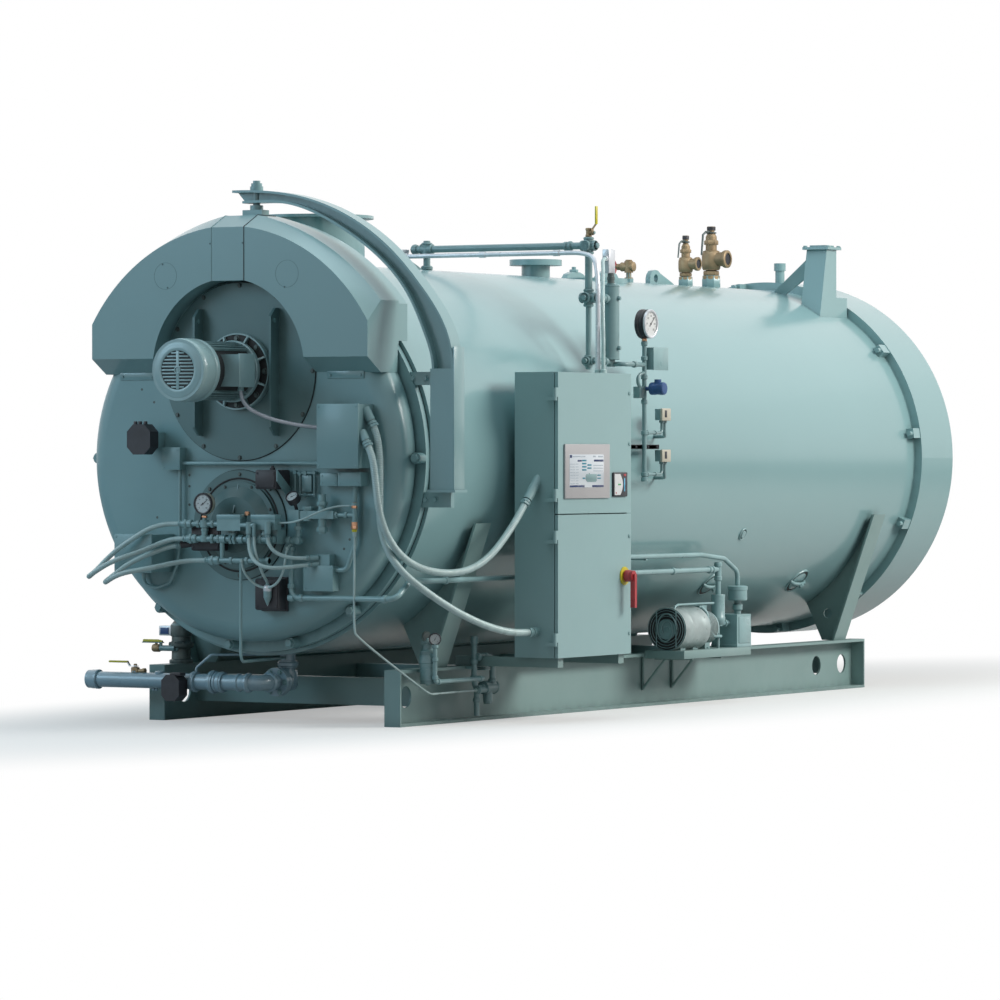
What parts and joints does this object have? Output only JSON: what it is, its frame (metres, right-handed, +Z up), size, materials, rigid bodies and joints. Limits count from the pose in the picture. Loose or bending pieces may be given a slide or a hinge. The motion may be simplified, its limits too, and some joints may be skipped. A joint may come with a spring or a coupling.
{
  "type": "industrial boiler",
  "caption": "Packaged horizontal firetube boiler on a skid, with burner front, arched air hood, davit, control cabinet and top fittings, for making steam.",
  "frame": {"origin": "floor level, on the boiler centreline, at the front end of the skid rails", "axes": "+X to the control cabinet side, +Y to the rear of the boiler, +Z up"},
  "size_m": [2.5778, 7.187, 2.939],
  "materials": {
    "body_paint": "semi-gloss pale grey-green enamel",
    "black_housing": "black textured",
    "dark_paint": "satin dark grey-green enamel on piping",
    "cabinet_paint": "satin pale grey-green enamel",
    "yellow_grip": "yellow dipped vinyl",
    "cast_grey": "dark cast iron",
    "flex_conduit": "grey ribbed jacket",
    "red_paint": "gloss red",
    "gauge": "white dial in black case",
    "panel_grey": "light grey bezel with screen",
    "bare_steel": "bright ribbed metal",
    "bronze": "cast bronze",
    "blue_housing": "blue enamel"
  },
  "bodies": {
    "boiler": {"actuator_brackets": "body_paint", "actuators": "black_housing", "air_hood": "body_paint", "air_lines": "dark_paint", "burner_piping": "dark_paint", "burner_plate": "body_paint", "cabinet_brackets": "body_paint", "cabinet_case": "cabinet_paint", "compressor": "cast_grey", "compressor_shelf": "dark_paint", "conduit_lower": "flex_conduit", "conduit_upper": "flex_conduit", "cross_members": "body_paint", "davit_arm": "body_paint", "davit_post": "body_paint", "end_clamps": "body_paint", "fan_motor": "body_paint", "fan_plate": "body_paint", "flue_outlet": "body_paint", "front_boxes": "body_paint", "front_conduits": "dark_paint", "front_flange": "body_paint", "front_head": "body_paint", "gas_regulator": "cast_grey", "gas_train": "dark_paint", "gauges": "gauge", "hose_lower": "flex_conduit", "hose_upper": "flex_conduit", "ignition_cable": "flex_conduit", "instrument_boxes": "body_paint", "instrument_manifold": "dark_paint", "lifting_lugs": "body_paint", "manway": "body_paint", "motor_conduit": "bare_steel", "pilot_train": "dark_paint", "plug_tube": "flex_conduit", "rear_davit": "body_paint", "rear_door": "body_paint", "rear_ring": "body_paint", "saddles": "body_paint", "safety_valves": "bronze", "shell_jacket": "body_paint", "shell_ports": "body_paint", "skid_fittings": "cast_grey", "skid_rails": "body_paint", "steam_nozzle": "body_paint", "transmitter": "blue_housing", "valve_heads": "cabinet_paint", "valve_tube_one": "flex_conduit", "valve_tube_two": "flex_conduit", "vent_valve": "bronze", "water_column": "dark_paint"},
    "upper_door": {"cabinet_upper_door": "cabinet_paint", "hmi_panel": "panel_grey"},
    "lower_door": {"cabinet_lower_door": "cabinet_paint"},
    "disconnect": {"disconnect_handle": "red_paint"},
    "column_cock_lever": {"column_lever": "yellow_grip"},
    "vent_wheel": {"vent_handwheel": "red_paint"},
    "gas_cock_lever": {"gas_lever": "yellow_grip"}
  },
  "joints": [
    {"name": "upper_door_swing", "type": "hinge", "parent": "boiler", "child": "upper_door", "pos_m": [1.3745, 0.679, 1.5], "axis": [0, 0, -1], "range_deg": [0, 110]},
    {"name": "lower_door_swing", "type": "hinge", "parent": "boiler", "child": "lower_door", "pos_m": [1.3745, 0.679, 0.75], "axis": [0, 0, -1], "range_deg": [0, 110]},
    {"name": "disconnect_turn", "type": "hinge", "parent": "lower_door", "child": "disconnect", "pos_m": [1.42, 1.437, 0.79], "axis": [1, 0, 0], "range_deg": [-90, 0]},
    {"name": "column_cock_turn", "type": "hinge", "parent": "boiler", "child": "column_cock_lever", "pos_m": [1.099, 1.585, 2.7], "axis": [1, 0, 0], "range_deg": [0, 90]},
    {"name": "vent_wheel_spin", "type": "hinge", "parent": "boiler", "child": "vent_wheel", "pos_m": [-0.112, 4, 2.6055], "axis": [-1, 0, 0], "continuous": true},
    {"name": "gas_cock_turn", "type": "hinge", "parent": "boiler", "child": "gas_cock_lever", "pos_m": [-0.8, -0.15, 0.298], "axis": [0, 0, 1], "range_deg": [0, 90]}
  ]
}
